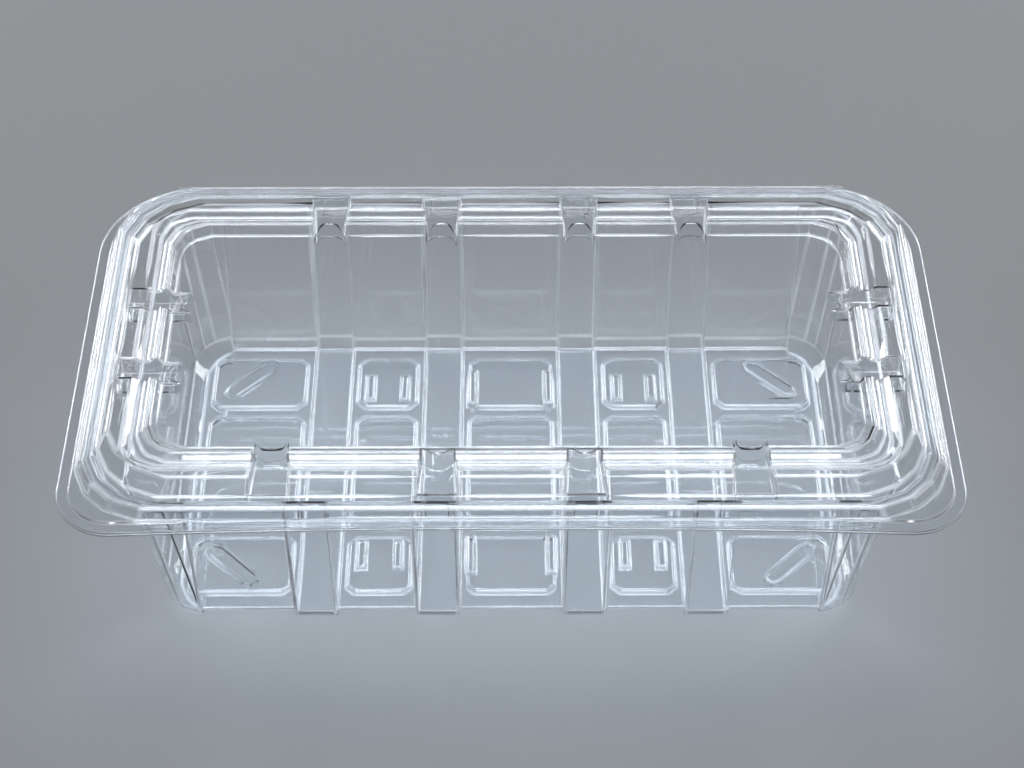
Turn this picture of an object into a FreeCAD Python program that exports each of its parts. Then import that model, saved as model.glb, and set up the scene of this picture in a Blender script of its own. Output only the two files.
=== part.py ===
import FreeCAD, Part
import math
import os
import Sketcher

# Clear thermoformed clamshell pack, closed: a deep ribbed tray, a stepped lid and the fold that joins them.
# Millimetres, +Z up, X along the pack's long side, front at -Y, fold along the back at +Y.
# The origin is on the table under the middle of the pack, where the tray's ribs rest.

SIZES = {
    # whole pack and sheet
    "pack_width": 250.0,
    "pack_depth": 145.0,
    "wall": 0.6,
    "lid_gap": 0.3,
    "rim_level": 54.0,
    # flange outline
    "front_radius": 16.0,
    "back_radius": 30.0,
    "front_bow_radius": 2700.0,
    # lid rim, from the flange inwards
    "lid_flange": 3.4,
    "corner_pad_rise": 0.8,
    "step_offset": 1.0,
    "step_batter": 1.2,
    "step_rise": 2.8,
    "terrace_width": 4.4,
    "crest_run_side": 2.2,
    "crest_run_front": 5.0,
    "crest_rise": 2.3,
    "crest_width_side": 5.2,
    "crest_width_front": 3.8,
    "valley_run": 2.0,
    "valley_drop": 1.4,
    "valley_width": 1.4,
    "ridge_run": 1.6,
    "ridge_rise": 1.6,
    "ridge_width": 1.8,
    "panel_run_side": 1.6,
    "panel_run_front": 2.6,
    "panel_drop": 2.4,
    "outer_corner_cut": 13.0,
    "outer_corner_soft": 5.0,
    "inner_corner_cut": 6.0,
    "inner_corner_soft": 3.0,
    # lid grooves and vents
    "groove_width": 8.2,
    "groove_flare": 1.5,
    "groove_setback": 0.2,
    "front_outer_groove_x": 66.4,
    "front_inner_groove_x": 20.3,
    "front_outer_groove_reach": 35.0,
    "front_inner_groove_reach": 32.0,
    "back_outer_groove_x": 55.0,
    "back_inner_groove_x": 21.0,
    "back_groove_reach": 33.0,
    "side_groove_y": 14.75,
    "side_groove_start": 13.0,
    "side_groove_reach": 35.0,
    "side_groove_width": 7.6,
    "vent_start": 15.9,
    "vent_length": 7.8,
    # tray rim bead
    "bead_batter": 1.2,
    "bead_top": 2.6,
    "bead_inner_batter": 0.6,
    "bead_rise": 3.5,
    # tray basin
    "basin_width": 214.0,
    "basin_draft": 5.5,
    "basin_corner_cut": 8.0,
    "basin_corner_soft": 3.5,
    "base_bevel_side": 4.0,
    "base_bevel_front": 2.4,
    "base_bevel_height": 4.0,
    # tray hoops and the panels pressed in between them
    "inner_hoop_x": 21.3,
    "outer_hoop_x": 56.6,
    "hoop_width": 12.4,
    "post_x": 89.5,
    "panel_press": 1.3,
    "floor_press": 1.0,
    # tray lugs at the top of the hoops
    "lug_inner_x": 20.3,
    "lug_outer_x": 54.0,
    "lug_width": 8.4,
    "lug_offset": 3.6,
    "lug_depth": 3.0,
    # raised floor pads
    "pad_rise": 1.2,
    "pad_row_outer": 48.0,
    "pad_row_inner": 27.2,
    "pad_middle": 22.6,
    "pad_margin": 2.4,
    "pad_end_x": 94.0,
    "pad_corner": 2.5,
    # small ribs that stand on the pads
    "rib_rise": 1.2,
    "diagonal_x": 82.5,
    "diagonal_y": 38.4,
    "diagonal_length": 15.0,
    "diagonal_width": 4.4,
    "bracket_x": 39.0,
    "bracket_y": 34.6,
    "bracket_reach": 6.4,
    "bracket_height": 10.0,
    "bracket_bar": 2.0,
    "bar_x": 12.0,
    "bar_width": 2.0,
    "bar_length": 14.0,
    # fold along the back
    "fold_length": 208.0,
}

doc = FreeCAD.newDocument("clamshell_pack")
sheet = doc.addObject("Spreadsheet::Sheet", "sizes")
for row, (alias, number) in enumerate(SIZES.items(), start=1):
    sheet.set(f"A{row}", alias)
    sheet.set(f"B{row}", str(number))
    sheet.setAlias(f"B{row}", alias)
doc.recompute()


def s(alias):
    """Expression for one cell of the sheet."""
    return "sizes." + alias


def value(expression):
    return float(sheet.evalExpression(expression))


def add(*terms):
    return "(" + " + ".join(terms) + ")"


def less(first, *terms):
    return "(" + " - ".join((first,) + terms) + ")"


HALF_X = "(sizes.pack_width / 2)"
HALF_Y = "(sizes.pack_depth / 2)"
FOLD_RADIUS = "(sizes.wall + sizes.lid_gap / 2)"
FOLD_LEVEL = "(sizes.rim_level + sizes.wall + sizes.lid_gap / 2)"
LID_LEVEL = "(sizes.rim_level + sizes.wall + sizes.lid_gap)"
LID_TOP = "(sizes.rim_level + 2 * sizes.wall + sizes.lid_gap)"
# the tray's rim bead, from the flange's edge to its outer foot and from there to its inner foot
BEAD_FOOT = "(sizes.lid_flange + sizes.step_offset + sizes.wall + sizes.lid_gap)"
BEAD_INNER = "(sizes.bead_batter + sizes.bead_top + sizes.bead_inner_batter)"
# where the lid's grooves start, clear of the bead also while the lid swings
GROOVE_START = "(" + BEAD_FOOT + " + " + BEAD_INNER + " + sizes.lid_gap + sizes.wall + sizes.groove_setback)"
# how far a cut starts below the skin, how far it runs past an edge, and a height above the whole pack
BELOW = "1"
PAST = "5"
TALL = "(2 * sizes.rim_level)"


def new_body(name):
    return doc.addObject("PartDesign::Body", name)


def origin_plane(body, role):
    return next(item for item in body.Origin.OriginFeatures if item.Role == role)


def new_sketch(body, name, level, plane="XY_Plane"):
    sketch = body.newObject("Sketcher::SketchObject", name)
    sketch.AttachmentSupport = [(origin_plane(body, plane), "")]
    sketch.MapMode = "FlatFace"
    sketch.setExpression("AttachmentOffset.Base.z", level)
    return sketch


def hold_points(sketch, points):
    """Hold ends of lines in place. Each point is (geometry, end, x, y), x and y being expressions."""
    constraints = []
    expressions = []
    for geometry, end, x, y in points:
        for kind, expression in (("DistanceX", x), ("DistanceY", y)):
            size = value(expression)
            if size >= 0:
                constraints.append(Sketcher.Constraint(kind, -1, 1, geometry, end, size))
                expressions.append(expression)
            else:
                constraints.append(Sketcher.Constraint(kind, geometry, end, -1, 1, -size))
                expressions.append(f"-({expression})")
    first = sketch.ConstraintCount
    sketch.addConstraint(constraints)
    for index, expression in enumerate(expressions, start=first):
        sketch.setExpression(f"Constraints[{index}]", expression)


def polygon(sketch, corners):
    """Closed outline of straight lines through corners, each an (x, y) pair of expressions."""
    points = [FreeCAD.Vector(value(x), value(y), 0) for x, y in corners]
    first = sketch.GeometryCount
    count = len(points)
    lines = [Part.LineSegment(points[i], points[(i + 1) % count]) for i in range(count)]
    sketch.addGeometry(lines, False)
    sketch.addConstraint([
        Sketcher.Constraint("Coincident", first + i, 2, first + (i + 1) % count, 1)
        for i in range(count)
    ])
    hold_points(sketch, [(first + i, 1, x, y) for i, (x, y) in enumerate(corners)])


def cut_corner_outline(half_x, half_y, cut, soft):
    """Sixteen corners of a rectangle whose corners are cut at 45 degrees and eased at both ends."""
    leg = f"({soft} / sqrt(2))"
    quarter = [
        (half_x, less(half_y, cut, soft)),
        (less(half_x, leg), add(less(half_y, cut), leg)),
        (add(less(half_x, cut), leg), less(half_y, leg)),
        (less(half_x, cut, soft), half_y),
    ]
    corners = [(x, y) for x, y in quarter]
    corners += [("-" + x, y) for x, y in reversed(quarter)]
    corners += [("-" + x, "-" + y) for x, y in quarter]
    corners += [(x, "-" + y) for x, y in reversed(quarter)]
    return corners


def straight_loft(body, kind, name, sketches):
    """Straight-sided solid from sketch to sketch."""
    feature = body.newObject(f"PartDesign::{kind}", name)
    feature.Profile = sketches[0]
    feature.Sections = sketches[1:]
    feature.Ruled = True
    feature.Refine = False


def loft(body, kind, name, low, high):
    """Straight-sided solid between two rings; a ring is (half_x, half_y, cut, soft, level)."""
    sketches = []
    for end, ring in (("low", low), ("high", high)):
        half_x, half_y, cut, soft, level = ring
        sketch = new_sketch(body, f"{name}_{end}", level)
        polygon(sketch, cut_corner_outline(half_x, half_y, cut, soft))
        sketches.append(sketch)
    straight_loft(body, kind, name, sketches)


def pad(body, name, sketch, length):
    feature = body.newObject("PartDesign::Pad", name)
    feature.Profile = sketch
    feature.setExpression("Length", length)
    feature.Refine = False
    return feature


def pocket_up(body, name, sketch, length):
    """Cut upwards from the sketch."""
    feature = body.newObject("PartDesign::Pocket", name)
    feature.Profile = sketch
    feature.Reversed = True
    feature.setExpression("Length", length)
    feature.Refine = False
    return feature


def flange_sketch(body, name, inset, level):
    """Flange outline: rounded corners, larger at the back, and a slightly waisted front edge."""
    sketch = new_sketch(body, name, level)
    right = less(HALF_X, inset)
    back = less(HALF_Y, FOLD_RADIUS, inset)
    front = less(HALF_Y, inset)
    front_r = less(s("front_radius"), inset)
    back_r = less(s("back_radius"), inset)
    x, yb, yf = value(right), value(back), -value(front)
    rf, rb = value(front_r), value(back_r)
    bow = value(s("front_bow_radius"))
    half_front = x - rf
    bow_centre_y = yf - (bow ** 2 - half_front ** 2) ** 0.5
    vec = FreeCAD.Vector
    up = vec(0, 0, 1)

    def arc(cx, cy, radius, start, end):
        circle = Part.Circle(vec(cx, cy, 0), up, radius)
        return Part.ArcOfCircle(circle, start, end)

    pi = math.pi
    spread = math.asin(half_front / bow)
    geometry = [
        arc(0, bow_centre_y, bow, pi / 2 - spread, pi / 2 + spread),
        arc(x - rf, yf + rf, rf, 1.5 * pi, 2 * pi),
        Part.LineSegment(vec(x, yf + rf, 0), vec(x, yb - rb, 0)),
        arc(x - rb, yb - rb, rb, 0, 0.5 * pi),
        Part.LineSegment(vec(x - rb, yb, 0), vec(-x + rb, yb, 0)),
        arc(-x + rb, yb - rb, rb, 0.5 * pi, pi),
        Part.LineSegment(vec(-x, yb - rb, 0), vec(-x, yf + rf, 0)),
        arc(-x + rf, yf + rf, rf, pi, 1.5 * pi),
    ]
    sketch.addGeometry(geometry, False)
    joins = [(0, 1, 1, 1), (1, 2, 2, 1), (2, 2, 3, 1), (3, 2, 4, 1),
             (4, 2, 5, 1), (5, 2, 6, 1), (6, 2, 7, 1), (7, 2, 0, 2)]
    sketch.addConstraint([Sketcher.Constraint("Tangent", *join) for join in joins])
    sketch.addConstraint(Sketcher.Constraint("Vertical", 2))
    sketch.addConstraint(Sketcher.Constraint("Vertical", 6))
    sketch.addConstraint(Sketcher.Constraint("Horizontal", 4))
    sketch.addConstraint(Sketcher.Constraint("PointOnObject", 0, 3, -2))
    for index, radius in ((0, s("front_bow_radius")), (1, front_r), (7, front_r), (3, back_r), (5, back_r)):
        which = sketch.addConstraint(Sketcher.Constraint("Radius", index, value(radius)))
        sketch.setExpression(f"Constraints[{which}]", radius)
    for kind, points, size in (
        ("DistanceX", (-1, 1, 2, 1), right),
        ("DistanceX", (6, 1, -1, 1), right),
        ("DistanceY", (-1, 1, 4, 1), back),
        ("DistanceY", (1, 3, -1, 1), less(front, front_r)),
    ):
        which = sketch.addConstraint(Sketcher.Constraint(kind, *points, value(size)))
        sketch.setExpression(f"Constraints[{which}]", size)
    return sketch


def ring(side, front, level, kind="outer"):
    """Ring given by how far it lies inside the flange's outer edge at the sides and at the front."""
    return (less(HALF_X, side), less(HALF_Y, front), s(kind + "_corner_cut"), s(kind + "_corner_soft"), level)


def lid_rings(inset, drop):
    """Break lines of the lid's rim. inset moves each wall into the sheet and drop lowers each level."""
    rings = {}
    side = front = add(s("lid_flange"), s("step_offset"))
    level = add(LID_TOP, s("corner_pad_rise"))
    rings["step_foot"] = ring(add(side, inset), add(front, inset), less(level, drop))
    side, front = add(side, s("step_batter")), add(front, s("step_batter"))
    level = add(level, s("step_rise"))
    rings["step_top"] = ring(add(side, inset), add(front, inset), less(level, drop))
    side, front = add(side, s("terrace_width")), add(front, s("terrace_width"))
    rings["crest_foot"] = ring(add(side, inset), add(front, inset), less(level, drop))
    side, front = add(side, s("crest_run_side")), add(front, s("crest_run_front"))
    level = add(level, s("crest_rise"))
    rings["crest_top"] = ring(add(side, inset), add(front, inset), less(level, drop))
    side, front = add(side, s("crest_width_side")), add(front, s("crest_width_front"))
    rings["crest_end"] = ring(less(side, inset), less(front, inset), less(level, drop), "inner")
    side, front = add(side, s("valley_run")), add(front, s("valley_run"))
    level = less(level, s("valley_drop"))
    rings["valley_start"] = ring(less(side, inset), less(front, inset), less(level, drop), "inner")
    side, front = add(side, s("valley_width")), add(front, s("valley_width"))
    rings["ridge_foot"] = ring(add(side, inset), add(front, inset), less(level, drop), "inner")
    side, front = add(side, s("ridge_run")), add(front, s("ridge_run"))
    level = add(level, s("ridge_rise"))
    rings["ridge_top"] = ring(add(side, inset), add(front, inset), less(level, drop), "inner")
    side, front = add(side, s("ridge_width")), add(front, s("ridge_width"))
    rings["ridge_end"] = ring(less(side, inset), less(front, inset), less(level, drop), "inner")
    side, front = add(side, s("panel_run_side")), add(front, s("panel_run_front"))
    level = less(level, s("panel_drop"))
    rings["panel_edge"] = ring(less(side, inset), less(front, inset), less(level, drop), "inner")
    return rings


def lid_steps(body, name, inset, drop):
    """Terraces of the lid as one solid: step, crest, valley, ridge and the sunk middle panel."""
    rings = lid_rings(inset, drop)
    loft(body, "AdditiveLoft", name + "_step", rings["step_foot"], rings["step_top"])
    loft(body, "AdditiveLoft", name + "_crest", rings["crest_foot"], rings["crest_top"])
    loft(body, "SubtractiveLoft", name + "_valley", rings["valley_start"], rings["crest_end"])
    loft(body, "AdditiveLoft", name + "_ridge", rings["ridge_foot"], rings["ridge_top"])
    loft(body, "SubtractiveLoft", name + "_panel", rings["panel_edge"], rings["ridge_end"])


def groove_outline(sketch, centre_x, edge_y, reach, towards, grow):
    """Round-ended groove inside the front terrace (towards is 1) or the back one (towards is -1)."""
    half = add(f"({s('groove_width')} / 2)", grow)
    mouth = add(half, s("groove_flare"))
    outer = f"({-towards} * {add(less(edge_y, GROOVE_START), grow)})"
    inner = f"({-towards} * {less(edge_y, reach)} - {towards} * {half} + {towards} * {grow})"
    left_mouth = (less(centre_x, mouth), outer)
    right_mouth = (add(centre_x, mouth), outer)
    left_end = (less(centre_x, half), inner)
    right_end = (add(centre_x, half), inner)
    round_end(sketch, left_mouth, left_end, right_end, right_mouth, "Horizontal")


def round_end(sketch, start, corner_a, corner_b, finish, chord):
    """Three sides and a half-round end on a horizontal or vertical chord from corner_a to corner_b."""
    a, b, c, d = (FreeCAD.Vector(value(x), value(y), 0) for x, y in (start, corner_a, corner_b, finish))
    centre = (b + c) * 0.5
    turns_left = (c - b).cross(b - a).z > 0
    spoke = (b if turns_left else c) - centre
    start_angle = math.atan2(spoke.y, spoke.x)
    circle = Part.Circle(centre, FreeCAD.Vector(0, 0, 1), spoke.Length)
    first = sketch.GeometryCount
    half_round = Part.ArcOfCircle(circle, start_angle, start_angle + math.pi)
    sides = [Part.LineSegment(d, a), Part.LineSegment(a, b), half_round, Part.LineSegment(c, d)]
    sketch.addGeometry(sides, False)
    arc_start, arc_end = (1, 2) if turns_left else (2, 1)
    sketch.addConstraint([
        Sketcher.Constraint("Coincident", first, 2, first + 1, 1),
        Sketcher.Constraint("Coincident", first + 1, 2, first + 2, arc_start),
        Sketcher.Constraint("Coincident", first + 2, arc_end, first + 3, 1),
        Sketcher.Constraint("Coincident", first + 3, 2, first, 1),
    ])
    hold_points(sketch, [
        (first, 1, *finish), (first + 1, 1, *start), (first + 1, 2, *corner_a), (first + 3, 1, *corner_b),
    ])
    sketch.addConstraint(Sketcher.Constraint(chord, first + 2, 3, first + 2, arc_start))


EDGE_GROOVES = [
    ("front_outer_groove_x", "front_outer_groove_reach", 1),
    ("front_inner_groove_x", "front_inner_groove_reach", 1),
    ("back_outer_groove_x", "back_groove_reach", -1),
    ("back_inner_groove_x", "back_groove_reach", -1),
]


def edge_groove_sketch(body, name, level, grow):
    """Plan of the eight grooves across the front and back rims, blind at both ends."""
    sketch = new_sketch(body, name, level)
    for cell, reach, towards in EDGE_GROOVES:
        for sign in ("-", ""):
            groove_outline(sketch, f"({sign}{s(cell)})", HALF_Y, s(reach), towards, grow)
    return sketch


def side_groove_sketch(body, name, level, grow):
    """Plan of the four grooves across the short sides' rims, which start inside the outer step."""
    sketch = new_sketch(body, name, level)
    half = add(f"({s('side_groove_width')} / 2)", grow)
    for sign in ("-", ""):
        for where in ("-", ""):
            centre = f"({where}{s('side_groove_y')})"
            outer = f"{sign}{add(less(HALF_X, s('side_groove_start')), grow)}"
            inner = f"{sign}{add(less(HALF_X, s('side_groove_reach'), grow), half)}"
            low, high = less(centre, half), add(centre, half)
            round_end(sketch, (outer, low), (inner, low), (inner, high), (outer, high), "Vertical")
    return sketch


def cut_grooves(body, name, level, grow):
    """All the lid's grooves, cut upwards from level."""
    pocket_up(body, name + "_edge_grooves", edge_groove_sketch(body, name + "_edge_plan", level, grow), TALL)
    pocket_up(body, name + "_side_grooves", side_groove_sketch(body, name + "_side_plan", level, grow), TALL)


def rectangle(sketch, left, right, low, high):
    polygon(sketch, [(left, low), (right, low), (right, high), (left, high)])


# lid form: everything under the lid's top surface
lid_form = new_body("lid_form")
pad(lid_form, "lid_flange_plate", flange_sketch(lid_form, "lid_flange_outline", "0", LID_LEVEL), s("wall"))
pad(
    lid_form,
    "lid_corner_pads",
    flange_sketch(lid_form, "lid_corner_pad_outline", s("lid_flange"), LID_LEVEL),
    add(s("wall"), s("corner_pad_rise")),
)
lid_steps(lid_form, "lid_top", "0", "0")
cut_grooves(lid_form, "lid_top", LID_TOP, "0")
vents = new_sketch(lid_form, "lid_vents_plan", less(LID_LEVEL, BELOW))
for sign in (-1, 1):
    for where in (-1, 1):
        near = less(HALF_X, s("vent_start"), s("vent_length"))
        far = less(HALF_X, s("vent_start"))
        centre = f"({where} * {s('side_groove_y')})"
        half = f"({s('side_groove_width')} / 2)"
        edges = sorted((f"({sign} * {near})", f"({sign} * {far})"), key=value)
        rectangle(vents, *edges, less(centre, half), add(centre, half))
pocket_up(lid_form, "lid_vents", vents, TALL)

# lid void: the space under the lid's sheet
lid_void = new_body("lid_void")
foot = lid_rings(s("wall"), s("wall"))["step_foot"]
loft(lid_void, "AdditiveLoft", "lid_void_mouth", foot[:4] + (less(LID_LEVEL, BELOW),), foot)
lid_steps(lid_void, "lid_under", s("wall"), s("wall"))
cut_grooves(lid_void, "lid_under", less(LID_LEVEL, BELOW, BELOW), s("wall"))

lid = doc.addObject("Part::Cut", "lid")
lid.Base = lid_form
lid.Tool = lid_void
lid.Refine = True

# tray basin: half sizes of the outer skin at the rim, above the base bevel and at the table
TRAY_TOP = "(sizes.rim_level + sizes.wall)"
BASIN_X = "(sizes.basin_width / 2)"
BASIN_Y = less(HALF_Y, BEAD_FOOT, BEAD_INNER, "-" + s("wall"))
BASIN_CORNER = (s("basin_corner_cut"), s("basin_corner_soft"))


def basin(body, name, inset, rise):
    """Solid of the basin: drafted walls over a bevelled base, its panels pressed in between the hoops."""
    top = (less(BASIN_X, inset), less(BASIN_Y, inset)) + BASIN_CORNER + (TRAY_TOP,)
    low_x, low_y = less(top[0], s("basin_draft")), less(top[1], s("basin_draft"))
    low = (low_x, low_y) + BASIN_CORNER + (add(s("base_bevel_height"), f"({rise} / 2)"),)
    foot = (less(low_x, s("base_bevel_side")), less(low_y, s("base_bevel_front"))) + BASIN_CORNER + (rise,)
    loft(body, "AdditiveLoft", name + "_walls", low, top)
    loft(body, "AdditiveLoft", name + "_bevel", foot, low)
    half_hoop = f"({s('hoop_width')} / 2)"
    inner_hoop, outer_hoop = s("inner_hoop_x"), s("outer_hoop_x")
    bays = (
        ("-" + s("post_x"), f"(-{outer_hoop} - {half_hoop})"),
        (f"(-{outer_hoop} + {half_hoop})", f"(-{inner_hoop} - {half_hoop})"),
        (f"(-{inner_hoop} + {half_hoop})", less(inner_hoop, half_hoop)),
        (add(inner_hoop, half_hoop), less(outer_hoop, half_hoop)),
        (add(outer_hoop, half_hoop), s("post_x")),
    )
    press_top = less(s("rim_level"), "-" + inset)
    wide = add(top[1], PAST)

    section = [
        (less(top[1], s("panel_press")), press_top),
        (less(low_y, s("panel_press")), low[4]),
        (less(foot[1], s("panel_press")), add(s("floor_press"), rise)),
    ]
    outline = [("-" + y, z) for y, z in section] + [(y, z) for y, z in reversed(section)]
    outline += [(wide, press_top), (wide, "-" + PAST), ("-" + wide, "-" + PAST), ("-" + wide, press_top)]
    for number, (start, finish) in enumerate(bays, start=1):
        sketch = new_sketch(body, f"{name}_bay_{number}_section", less(start, inset), "YZ_Plane")
        polygon(sketch, outline)
        pocket_up(body, f"{name}_bay_{number}", sketch, less(add(finish, inset), less(start, inset)))


def cut_corner_pad(sketch, left, right, low, high, cut):
    """Rectangle with cut corners."""
    polygon(sketch, [
        (add(left, cut), low), (less(right, cut), low), (right, add(low, cut)), (right, less(high, cut)),
        (less(right, cut), high), (add(left, cut), high), (left, less(high, cut)), (left, add(low, cut)),
    ])


def floor_pads(body, name, grow, level):
    """Three rows of raised pads in the five bays, pressed up to level from under the floor."""
    half_hoop = f"({s('hoop_width')} / 2)"
    margin = less(s("pad_margin"), grow)
    centre_half = less(s("inner_hoop_x"), half_hoop, margin)
    second = (add(s("inner_hoop_x"), half_hoop, margin), less(s("outer_hoop_x"), half_hoop, margin))
    end = (add(s("outer_hoop_x"), half_hoop, margin), add(s("pad_end_x"), grow))
    columns = [
        ("-" + centre_half, centre_half),
        second, ("-" + second[1], "-" + second[0]),
        end, ("-" + end[1], "-" + end[0]),
    ]
    outer, inner = add(s("pad_row_outer"), grow), less(s("pad_row_inner"), grow)
    middle = add(s("pad_middle"), grow)
    rows = [("-" + outer, "-" + inner), ("-" + middle, middle), (inner, outer)]
    sketch = new_sketch(body, name + "_plan", "-" + BELOW)
    for left, right in columns:
        for low, high in rows:
            cut_corner_pad(sketch, left, right, low, high, s("pad_corner"))
    pocket_up(body, name, sketch, add(level, BELOW))


def floor_ribs(body, name, grow, level):
    """Slanted ribs in the four corner pads, brackets in the next ones and bars in the middle ones."""
    sketch = new_sketch(body, name + "_plan", "-" + BELOW)
    along = f"({s('diagonal_length')} / 2 / sqrt(2))"
    across = f"(({s('diagonal_width')} / 2 + {grow}) / sqrt(2))"
    tip = f"({s('diagonal_width')} / 2 + {grow})"
    reach = add(along, f"({tip} / sqrt(2))")
    bar = add(f"({s('bar_width')} / 2)", grow)
    bar_reach = add(f"({s('bar_length')} / 2)", grow)
    for x_sign in (-1, 1):
        for y_sign in (-1, 1):
            centre_x = f"({x_sign} * {s('diagonal_x')})"
            centre_y = f"({y_sign} * {s('diagonal_y')})"
            steps = [
                (add(along, across), less(across, along)),
                (add(reach, f"({across} / 2)"), less(f"({across} / 2)", reach)),
                (less(reach, f"({across} / 2)"), f"(-{reach} - {across} / 2)"),
                (less(along, across), f"(-{along} - {across})"),
            ]
            steps += [(f"(-{x})", f"(-{y})") for x, y in steps]
            polygon(sketch, [
                (f"({centre_x} - {x_sign} * {x})", f"({centre_y} - {y_sign} * {y})") for x, y in steps
            ])
            centre_y = f"({y_sign} * {s('bracket_y')})"
            for facing in (-1, 1):
                outer_x = f"({facing} * ({s('bracket_reach')} + {grow}))"
                inner_x = f"({facing} * ({s('bracket_reach')} - {s('bracket_bar')} - {grow}))"
                back_x = f"({x_sign} * {s('bracket_x')} + {outer_x})"
                front_x = f"({x_sign} * {s('bracket_x')} + {inner_x})"
                half = add(f"({s('bracket_height')} / 2)", grow)
                edges = sorted((back_x, front_x), key=value)
                rectangle(sketch, *edges, less(centre_y, half), add(centre_y, half))
            bar_x = f"({x_sign} * {s('bar_x')})"
            near, far = less(centre_y, bar_reach), add(centre_y, bar_reach)
            rectangle(sketch, less(bar_x, bar), add(bar_x, bar), near, far)
    pocket_up(body, name, sketch, add(level, BELOW))


def lug_sketch(body, name, level, inset, overlap):
    """Plan of the eight lugs at the top of the hoops, round on the outside."""
    sketch = new_sketch(body, name, level)
    half = less(f"({s('lug_width')} / 2)", inset)
    for cell in ("lug_inner_x", "lug_outer_x"):
        for sign in ("-", ""):
            for towards in (-1, 1):
                centre = f"({sign}{s(cell)})"
                tip = f"({towards} * {less(HALF_Y, s('lug_offset'), inset, half)})"
                root = f"({towards} * {less(HALF_Y, BEAD_FOOT, BEAD_INNER, overlap)})"
                left, right = less(centre, half), add(centre, half)
                round_end(sketch, (left, root), (left, tip), (right, tip), (right, root), "Horizontal")
    return sketch


FLOOR_LEVEL = add(s("floor_press"), s("pad_rise"))
RIB_LEVEL = add(FLOOR_LEVEL, s("rib_rise"))
BEAD_LEVEL = add(TRAY_TOP, s("bead_rise"))
bead_corner = (s("outer_corner_cut"), s("outer_corner_soft"))
bead_foot = (less(HALF_X, BEAD_FOOT), less(HALF_Y, BEAD_FOOT)) + bead_corner + (TRAY_TOP,)
bead_crown = tuple(less(size, s("bead_batter")) for size in bead_foot[:2]) + bead_corner + (BEAD_LEVEL,)
bead_lip = tuple(less(size, s("bead_top")) for size in bead_crown[:2]) + bead_corner + (BEAD_LEVEL,)
bead_root = tuple(less(size, s("bead_inner_batter")) for size in bead_lip[:2]) + bead_corner + (TRAY_TOP,)


def moved(outline, inset, drop):
    half_x, half_y, cut, soft, level = outline
    return (less(half_x, inset), less(half_y, inset), cut, soft, less(level, drop))


# tray form: everything inside the tray's outer skin, the flange and the rim bead
tray_form = new_body("tray_form")
basin(tray_form, "tray_skin", "0", "0")
tray_outline = flange_sketch(tray_form, "tray_flange_outline", "0", s("rim_level"))
pad(tray_form, "tray_flange_plate", tray_outline, s("wall"))
loft(tray_form, "AdditiveLoft", "tray_bead", bead_foot, bead_crown)
pad(
    tray_form, "tray_lugs",
    lug_sketch(tray_form, "tray_lugs_plan", less(s("rim_level"), s("lug_depth")), "0", s("wall")),
    add(s("lug_depth"), s("wall")),
)
floor_pads(tray_form, "tray_pads", "0", FLOOR_LEVEL)
floor_ribs(tray_form, "tray_ribs", "0", RIB_LEVEL)

# tray space: what is open above the tray's sheet
tray_space = new_body("tray_space")
basin(tray_space, "tray_inside", s("wall"), s("wall"))
loft(tray_space, "AdditiveLoft", "tray_mouth", bead_root, bead_lip)
lug_floor = add(less(s("rim_level"), s("lug_depth")), s("wall"))
pad(
    tray_space, "lug_channels",
    lug_sketch(tray_space, "lug_channels_plan", lug_floor, s("wall"), PAST),
    add(s("lug_depth"), s("bead_rise"), BELOW),
)
floor_pads(tray_space, "inside_pads", s("wall"), add(FLOOR_LEVEL, s("wall")))
floor_ribs(tray_space, "inside_ribs", s("wall"), add(RIB_LEVEL, s("wall")))

# bead hollow: the space under the tray's rim bead, stopped short of each lug
bead_hollow = new_body("bead_hollow")
HOLLOW_FLOOR = less(s("rim_level"), BELOW)
loft(
    bead_hollow, "AdditiveLoft", "hollow_outside",
    moved(bead_foot, s("wall"), s("wall")), moved(bead_crown, s("wall"), s("wall")),
)
loft(
    bead_hollow, "SubtractiveLoft", "hollow_inside",
    moved(bead_root, "-" + s("wall"), s("wall")), moved(bead_lip, "-" + s("wall"), s("wall")),
)
pocket_up(
    bead_hollow, "hollow_lug_stops",
    lug_sketch(bead_hollow, "hollow_lug_stops_plan", HOLLOW_FLOOR, "0", PAST),
    TALL,
)

tray_open = doc.addObject("Part::Cut", "tray_open")
tray_open.Base = tray_form
tray_open.Tool = tray_space
tray = doc.addObject("Part::Cut", "tray")
tray.Base = tray_open
tray.Tool = bead_hollow
tray.Refine = True

# fold along the back: the half-round of sheet that joins the two flanges
hinge_web = new_body("hinge_web")
web_section = new_sketch(hinge_web, "hinge_web_section", f"(-{s('fold_length')} / 2)", "YZ_Plane")
fold_y = less(HALF_Y, FOLD_RADIUS)
INNER_FOLD_RADIUS = "(sizes.lid_gap / 2)"
centre = FreeCAD.Vector(value(fold_y), value(FOLD_LEVEL), 0)
outer_r, inner_r = value(FOLD_RADIUS), value(INNER_FOLD_RADIUS)
for radius in (outer_r, inner_r):
    circle = Part.Circle(centre, FreeCAD.Vector(0, 0, 1), radius)
    web_section.addGeometry(Part.ArcOfCircle(circle, -math.pi / 2, math.pi / 2), False)
down, up = FreeCAD.Vector(0, -1, 0), FreeCAD.Vector(0, 1, 0)
web_section.addGeometry([
    Part.LineSegment(centre + down * inner_r, centre + down * outer_r),
    Part.LineSegment(centre + up * outer_r, centre + up * inner_r),
], False)
web_section.addConstraint([
    Sketcher.Constraint("Coincident", 2, 1, 1, 1),
    Sketcher.Constraint("Coincident", 2, 2, 0, 1),
    Sketcher.Constraint("Coincident", 3, 1, 0, 2),
    Sketcher.Constraint("Coincident", 3, 2, 1, 2),
    Sketcher.Constraint("Coincident", 0, 3, 1, 3),
    Sketcher.Constraint("Vertical", 2),
    Sketcher.Constraint("Vertical", 3),
])
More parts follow.
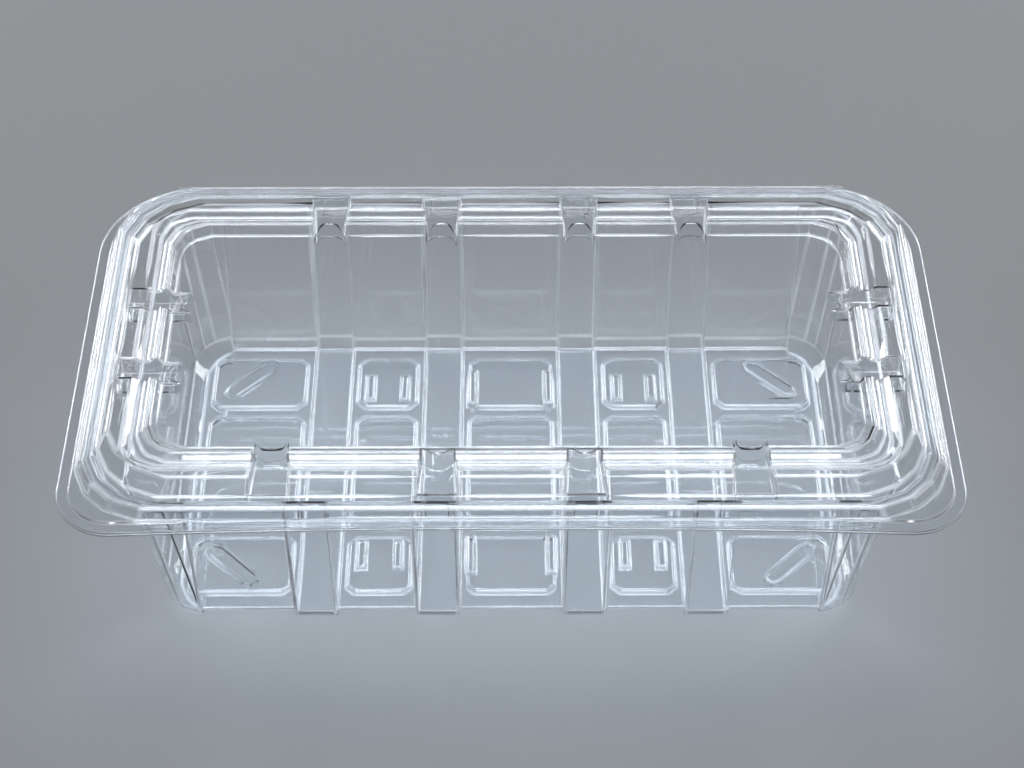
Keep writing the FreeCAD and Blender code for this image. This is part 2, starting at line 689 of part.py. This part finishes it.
for index, radius in ((0, FOLD_RADIUS), (1, INNER_FOLD_RADIUS)):
    which = web_section.addConstraint(Sketcher.Constraint("Radius", index, value(radius)))
    web_section.setExpression(f"Constraints[{which}]", radius)
hold_points(web_section, [(0, 3, fold_y, FOLD_LEVEL)])
pad(hinge_web, "hinge_web_roll", web_section, s("fold_length"))

doc.recompute()

failed = [item.Name for item in doc.Objects if "Invalid" in item.State or "Error" in item.State]
if failed:
    raise SystemExit("not built: " + ", ".join(failed))
NODES = {"tray": tray, "lid": lid, "hinge_web": hinge_web}
for label, item in NODES.items():
    item.Label = label
    shape = item.Shape
    if shape.isNull() or not shape.isValid() or len(shape.Solids) != 1:
        raise SystemExit(label + " is not one valid solid")
    print(label, round(shape.Volume), "mm3", shape.BoundBox)
os.makedirs("parts", exist_ok=True)
for label, item in NODES.items():
    item.Shape.exportStep(f"parts/{label}.step")
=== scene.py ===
import math

import bmesh
import bpy
from mathutils import Matrix, Vector
from mathutils.bvhtree import BVHTree
from mathutils.kdtree import KDTree


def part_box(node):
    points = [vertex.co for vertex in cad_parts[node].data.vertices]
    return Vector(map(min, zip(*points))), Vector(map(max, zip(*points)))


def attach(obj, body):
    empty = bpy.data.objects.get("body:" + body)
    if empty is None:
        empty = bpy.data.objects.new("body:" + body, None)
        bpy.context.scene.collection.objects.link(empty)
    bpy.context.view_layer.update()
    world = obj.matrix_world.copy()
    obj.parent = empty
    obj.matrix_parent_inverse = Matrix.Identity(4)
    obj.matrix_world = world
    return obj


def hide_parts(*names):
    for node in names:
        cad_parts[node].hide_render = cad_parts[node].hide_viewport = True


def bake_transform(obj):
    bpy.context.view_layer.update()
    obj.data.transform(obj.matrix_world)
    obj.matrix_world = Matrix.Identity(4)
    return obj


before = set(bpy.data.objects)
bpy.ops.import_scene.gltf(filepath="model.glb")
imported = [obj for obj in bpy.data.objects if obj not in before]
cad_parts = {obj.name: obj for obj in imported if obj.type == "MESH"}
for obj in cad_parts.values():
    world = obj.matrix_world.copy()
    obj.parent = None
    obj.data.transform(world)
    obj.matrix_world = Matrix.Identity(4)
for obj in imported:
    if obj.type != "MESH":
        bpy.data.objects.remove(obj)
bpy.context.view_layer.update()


# Clear sheet: crystal-clear PET about half a millimetre thick, thermoformed in one piece.
# It is glossy on both sides and very slightly cool, and the drawing left it faintly uneven.
def new_material(name):
    """An empty material, with its nodes and links."""
    material = bpy.data.materials.new(name)
    material.use_nodes = True
    material.node_tree.nodes.clear()
    return material, material.node_tree.nodes, material.node_tree.links


def clear_plastic(nodes, roughness):
    plastic = nodes.new("ShaderNodeBsdfPrincipled")
    plastic.inputs["Base Color"].default_value = (0.97, 0.985, 1.0, 1.0)
    plastic.inputs["Transmission Weight"].default_value = 1.0
    plastic.inputs["IOR"].default_value = 1.57
    plastic.inputs["Roughness"].default_value = roughness
    return plastic


def noise_on_object(nodes, links, scale, detail):
    place = nodes.new("ShaderNodeTexCoord")
    noise = nodes.new("ShaderNodeTexNoise")
    noise.inputs["Scale"].default_value = scale
    noise.inputs["Detail"].default_value = detail
    links.new(place.outputs["Object"], noise.inputs["Vector"])
    return noise


def let_light_through(nodes, links, surface, tint):
    """The sheet casts only the faint shadow of a tinted window."""
    window = nodes.new("ShaderNodeBsdfTransparent")
    window.inputs["Color"].default_value = tint
    ray = nodes.new("ShaderNodeLightPath")
    choice = nodes.new("ShaderNodeMixShader")
    output = nodes.new("ShaderNodeOutputMaterial")
    links.new(ray.outputs["Is Shadow Ray"], choice.inputs["Fac"])
    links.new(surface, choice.inputs[1])
    links.new(window.outputs["BSDF"], choice.inputs[2])
    links.new(choice.outputs["Shader"], output.inputs["Surface"])


def clear_sheet(name):
    material, nodes, links = new_material(name)
    plastic = clear_plastic(nodes, roughness=0.02)
    uneven = noise_on_object(nodes, links, scale=38.0, detail=2.0)
    bump = nodes.new("ShaderNodeBump")
    bump.inputs["Strength"].default_value = 0.05
    bump.inputs["Distance"].default_value = 0.0006
    links.new(uneven.outputs["Fac"], bump.inputs["Height"])
    links.new(bump.outputs["Normal"], plastic.inputs["Normal"])
    let_light_through(nodes, links, plastic.outputs["BSDF"], tint=(0.9, 0.92, 0.94, 1.0))
    return material


# Bends of the sheet: clear plastic a little rougher, mixed with an opaque pale painted highlight that varies
# in patches, so the folds show as white lines from every side.
# how much of the painted highlight is mixed into the folds, at its least and at its most
PAINTED_HIGHLIGHT_LEAST = 0.12
PAINTED_HIGHLIGHT_MOST = 0.3


def bent_sheet_painted_highlight(name):
    material, nodes, links = new_material(name)
    clear = clear_plastic(nodes, roughness=0.12)
    # painted highlight: an opaque pale white sheen mixed into the clear plastic of the folds
    painted_highlight = nodes.new("ShaderNodeBsdfPrincipled")
    painted_highlight.inputs["Base Color"].default_value = (0.9, 0.93, 0.97, 1.0)
    painted_highlight.inputs["Roughness"].default_value = 0.25
    painted_highlight_patches = noise_on_object(nodes, links, scale=60.0, detail=3.0)
    amount = nodes.new("ShaderNodeMapRange")
    amount.inputs["From Min"].default_value = 0.3
    amount.inputs["From Max"].default_value = 0.7
    amount.inputs["To Min"].default_value = PAINTED_HIGHLIGHT_LEAST
    amount.inputs["To Max"].default_value = PAINTED_HIGHLIGHT_MOST
    links.new(painted_highlight_patches.outputs["Fac"], amount.inputs["Value"])
    mixed = nodes.new("ShaderNodeMixShader")
    links.new(amount.outputs["Result"], mixed.inputs["Fac"])
    links.new(clear.outputs["BSDF"], mixed.inputs[1])
    links.new(painted_highlight.outputs["BSDF"], mixed.inputs[2])
    let_light_through(nodes, links, mixed.outputs["Shader"], tint=(0.8, 0.82, 0.85, 1.0))
    return material


# Formed halves: the frame's own tray and lid, with every fold rounded as the mould rounds it.
# The sheet bends round about half a millimetre, less beside its cut edges; the bends catch the light, and
# their rounded faces also carry a painted highlight.
FOLD_ROUND = 0.0006
FOLD_SEGMENTS = 3
FOLD_ANGLE = math.radians(20)
FLAT_ANGLE = math.radians(1)
STRAIGHT = math.radians(178)
SAME_PLACE = 1e-6
SPECK = 0.0001
# the flats are cut into cells, so that no face is large and hollow
CELL = 0.009
CELL_SHIFT = 0.00037
# how much of the room beside a fold its round may take, towards another fold and towards any other edge
SHARE_TO_FOLD = 0.46
SHARE_TO_EDGE = 0.92
EVEN_SWEEPS = 40
# a rounded face this large that has turned this far from the flats beside it has crossed another
CROSSED_AREA = 2e-9
CROSSED_TURN = 0.3
CROSSED_REACH = 0.0012
NARROWING = 0.5
FOLD_TRIES = 12


def nearest_on(point, edge):
    """How far a point lies from an edge."""
    start, finish = (corner.co for corner in edge.verts)
    along = finish - start
    share = max(0.0, min(1.0, (point - start).dot(along) / max(along.length_squared, 1e-18)))
    return (start + along * share - point).length


def corner_angle(edge, other):
    """Angle between two edges that share a corner, or None where they don't."""
    shared = set(edge.verts) & set(other.verts)
    if not shared:
        return None
    hub = shared.pop()
    first = (edge.other_vert(hub).co - hub.co).normalized()
    second = (other.other_vert(hub).co - hub.co).normalized()
    return first.angle(second, math.pi)


def room_beside(edge, face, folds):
    """How wide a round fits between this fold and the other edges of one flat face."""
    room = FOLD_ROUND
    for other in face.edges:
        if other == edge:
            continue
        angle = corner_angle(edge, other)
        if angle is None:
            points = [(corner.co, edge) for corner in other.verts]
            points += [(corner.co, other) for corner in edge.verts]
            gap = min(nearest_on(point, target) for point, target in points)
            room = min(room, gap * (SHARE_TO_FOLD if other in folds else SHARE_TO_EDGE))
        elif angle > STRAIGHT:
            continue
        elif other not in folds:
            room = min(room, SHARE_TO_EDGE * other.calc_length() * math.sin(angle))
        elif angle < math.pi / 2:
            shorter = min(edge.calc_length(), other.calc_length())
            room = min(room, SHARE_TO_FOLD * shorter * math.tan(angle / 2))
    return room


def even_out(rooms):
    """Let the rounds of folds that run on into each other grow and shrink only slowly."""
    pairs = []
    for edge in rooms:
        for face in edge.link_faces:
            for other in face.edges:
                angle = corner_angle(edge, other) if other in rooms and other != edge else None
                if angle is not None and math.pi / 2 <= angle < STRAIGHT:
                    shorter = min(edge.calc_length(), other.calc_length())
                    pairs.append((edge, other, SHARE_TO_FOLD * shorter * math.sin(angle), -math.cos(angle)))
    for sweep in range(EVEN_SWEEPS):
        for edge, other, step, share in pairs:
            rooms[edge] = min(rooms[edge], step + share * rooms[other])


def shrink_crossed(piece):
    """Narrow the rounds near any rounded face that has turned over. Says whether there was one."""
    bpy.context.view_layer.update()
    flat = BVHTree.FromPolygons(
        [corner.co for corner in piece.data.vertices], [list(face.vertices) for face in piece.data.polygons],
    )
    dressed = piece.evaluated_get(bpy.context.evaluated_depsgraph_get())
    rounded = dressed.to_mesh()
    crossed = []
    for face in rounded.polygons:
        if face.area < CROSSED_AREA:
            continue
        near = flat.find_nearest_range(face.center, FOLD_ROUND)
        if not near or max(normal.dot(face.normal) for place, normal, index, gap in near) < CROSSED_TURN:
            crossed.append(face.center.copy())
            crossed.extend(rounded.vertices[corner].co.copy() for corner in face.vertices)
    dressed.to_mesh_clear()
    if crossed:
        tree = KDTree(len(crossed))
        for index, place in enumerate(crossed):
            tree.insert(place, index)
        tree.balance()
        weights = piece.data.attributes["bevel_weight_edge"].data
        for edge in piece.data.edges:
            ends = [piece.data.vertices[corner].co for corner in edge.vertices]
            if min(tree.find(end)[2] for end in ends) < CROSSED_REACH:
                weights[edge.index].value *= NARROWING
    return bool(crossed)


def rounded_copy(node, name):
    """The node's shape with its flats joined up and its folds rounded."""
    shape = bmesh.new()
    shape.from_mesh(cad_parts[node].data)
    bmesh.ops.remove_doubles(shape, verts=shape.verts, dist=SAME_PLACE)
    low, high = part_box(node)
    for axis, direction in enumerate((Vector((1, 0, 0)), Vector((0, 1, 0)))):
        count = math.ceil((high[axis] - low[axis]) / CELL)
        for step in range(1, count):
            place = direction * (low[axis] + (high[axis] - low[axis]) * step / count + CELL_SHIFT)
            everything = shape.verts[:] + shape.edges[:] + shape.faces[:]
            cut = bmesh.ops.bisect_plane(
                shape, geom=everything, dist=SAME_PLACE, plane_co=place, plane_no=direction,
            )
            for part in cut["geom_cut"]:
                if isinstance(part, bmesh.types.BMEdge):
                    part.seam = True
    bmesh.ops.dissolve_limit(
        shape, angle_limit=FLAT_ANGLE, use_dissolve_boundaries=False,
        verts=shape.verts, edges=shape.edges, delimit={"SEAM"},
    )
    bmesh.ops.dissolve_degenerate(shape, dist=SPECK, edges=shape.edges)
    weight = shape.edges.layers.float.new("bevel_weight_edge")
    folds = {edge for edge in shape.edges if edge.is_manifold and edge.calc_face_angle(0) > FOLD_ANGLE}
    rooms = {
        edge: min(room_beside(edge, face, folds) for face in edge.link_faces)
        for edge in shape.edges if edge in folds
    }
    even_out(rooms)
    for edge, room in rooms.items():
        edge[weight] = room / FOLD_ROUND
    mesh = bpy.data.meshes.new(name)
    shape.to_mesh(mesh)
    shape.free()
    if "custom_normal" in mesh.attributes:
        mesh.attributes.remove(mesh.attributes["custom_normal"])
    piece = bpy.data.objects.new(name, mesh)
    bpy.context.scene.collection.objects.link(piece)
    mesh.shade_flat()
    rounds = piece.modifiers.new("folds", "BEVEL")
    rounds.limit_method = "WEIGHT"
    rounds.offset_type = "OFFSET"
    rounds.width = FOLD_ROUND
    rounds.segments = FOLD_SEGMENTS
    rounds.use_clamp_overlap = False
    rounds.loop_slide = False
    # the rounded faces take the second material, the bends' clear plastic with its painted highlight
    rounds.material = 1
    for attempt in range(FOLD_TRIES):
        if not shrink_crossed(piece):
            break
    mesh.shade_smooth()
    even = piece.modifiers.new("even_shine", "WEIGHTED_NORMAL")
    even.keep_sharp = True
    return piece


sheet = clear_sheet("clear_pet")
# the folds' material: clear plastic with a painted highlight
bends = bent_sheet_painted_highlight("bent_pet_painted_highlight")
for node, body in (("tray", "tray"), ("lid", "lid")):
    half = rounded_copy(node, "formed_" + node)
    half.data.materials.append(sheet)
    half.data.materials.append(bends)
    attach(half, body)
    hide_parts(node)

# Fold strip: the narrow band of the same sheet that joins the two flanges along the back.
# It was left flat by the mould and bends in a half round when the lid is shut; here it is a copy of its
# part's shape and does not move with the lid.
strip_shape = bmesh.new()
strip_shape.from_mesh(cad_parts["hinge_web"].data)
bmesh.ops.remove_doubles(strip_shape, verts=strip_shape.verts, dist=SAME_PLACE)
for edge in strip_shape.edges:
    edge.smooth = edge.calc_face_angle(0) < FOLD_ANGLE
strip_mesh = bpy.data.meshes.new("fold_strip")
strip_shape.to_mesh(strip_mesh)
strip_shape.free()
if "custom_normal" in strip_mesh.attributes:
    strip_mesh.attributes.remove(strip_mesh.attributes["custom_normal"])
strip = bpy.data.objects.new("fold_strip", strip_mesh)
bpy.context.scene.collection.objects.link(strip)
strip_mesh.materials.append(sheet)
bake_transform(strip)
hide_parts("hinge_web")

# Studio: a plain pale grey table just under the pack, a faint room and four soft boxes.
# One box hangs overhead, two stand behind the corners and whiten the side rims, one lights the front.
TABLE_HALF = 6.0
TABLE_DROP = 0.0002
COOL = (0.9, 0.95, 1.0)
WHITE = (1.0, 1.0, 1.0)
floor_shape = bmesh.new()
bmesh.ops.create_grid(floor_shape, x_segments=1, y_segments=1, size=TABLE_HALF)
floor_mesh = bpy.data.meshes.new("table_top")
floor_shape.to_mesh(floor_mesh)
floor_shape.free()
floor_mesh.transform(Matrix.Translation((0, 0, -TABLE_DROP)))
floor = bpy.data.objects.new("table_top", floor_mesh)
bpy.context.scene.collection.objects.link(floor)
paint = bpy.data.materials.new("pale_table")
paint.use_nodes = True
paint.node_tree.nodes["Principled BSDF"].inputs["Base Color"].default_value = (0.19, 0.195, 0.2, 1.0)
paint.node_tree.nodes["Principled BSDF"].inputs["Roughness"].default_value = 0.75
floor_mesh.materials.append(paint)

world = bpy.data.worlds.new("room")
bpy.context.scene.world = world
world.use_nodes = True
world.node_tree.nodes["Background"].inputs["Color"].default_value = COOL + (1.0,)
world.node_tree.nodes["Background"].inputs["Strength"].default_value = 0.25


def soft_box(name, place, width, height, watts, tint):
    """A soft box that faces the pack."""
    lamp = bpy.data.lights.new(name, "AREA")
    lamp.shape = "RECTANGLE"
    lamp.size, lamp.size_y = width, height
    lamp.energy = watts
    lamp.color = tint
    holder = bpy.data.objects.new(name, lamp)
    holder.location = place
    holder.rotation_euler = (-Vector(place)).to_track_quat("-Z", "Y").to_euler()
    bpy.context.scene.collection.objects.link(holder)


soft_box("overhead_box", (0.0, 0.45, 1.15), width=0.7, height=0.4, watts=9.0, tint=COOL)
soft_box("left_box", (-0.8, 0.85, 0.5), width=0.3, height=0.5, watts=6.0, tint=WHITE)
soft_box("right_box", (0.8, 0.85, 0.5), width=0.3, height=0.5, watts=6.0, tint=WHITE)
soft_box("front_box", (0.0, -0.9, 1.0), width=0.7, height=0.2, watts=4.0, tint=WHITE)
bpy.context.scene.view_settings.view_transform = "Standard"

# Camera: stands in front of the long side and looks down at 45 degrees, as the photographer did.
# Its place, its lens and its slight roll were fitted to the outline of the flange.
SENSOR_WIDTH = 36.0
PHOTO_WIDTH = 1024
LENS_PIXELS = 2331.3
PITCH = math.radians(45)
ROLL = -0.003
camera_data = bpy.data.cameras.new("camera")
camera_data.sensor_width = SENSOR_WIDTH
camera_data.lens = SENSOR_WIDTH * LENS_PIXELS / PHOTO_WIDTH
camera = bpy.data.objects.new("camera", camera_data)
camera.location = (-0.0011, -0.4887, 0.5284)
camera.rotation_euler = (math.pi / 2 - PITCH, 0.0, ROLL)
camera_data.clip_end = 50.0
bpy.context.scene.collection.objects.link(camera)
bpy.context.scene.camera = camera
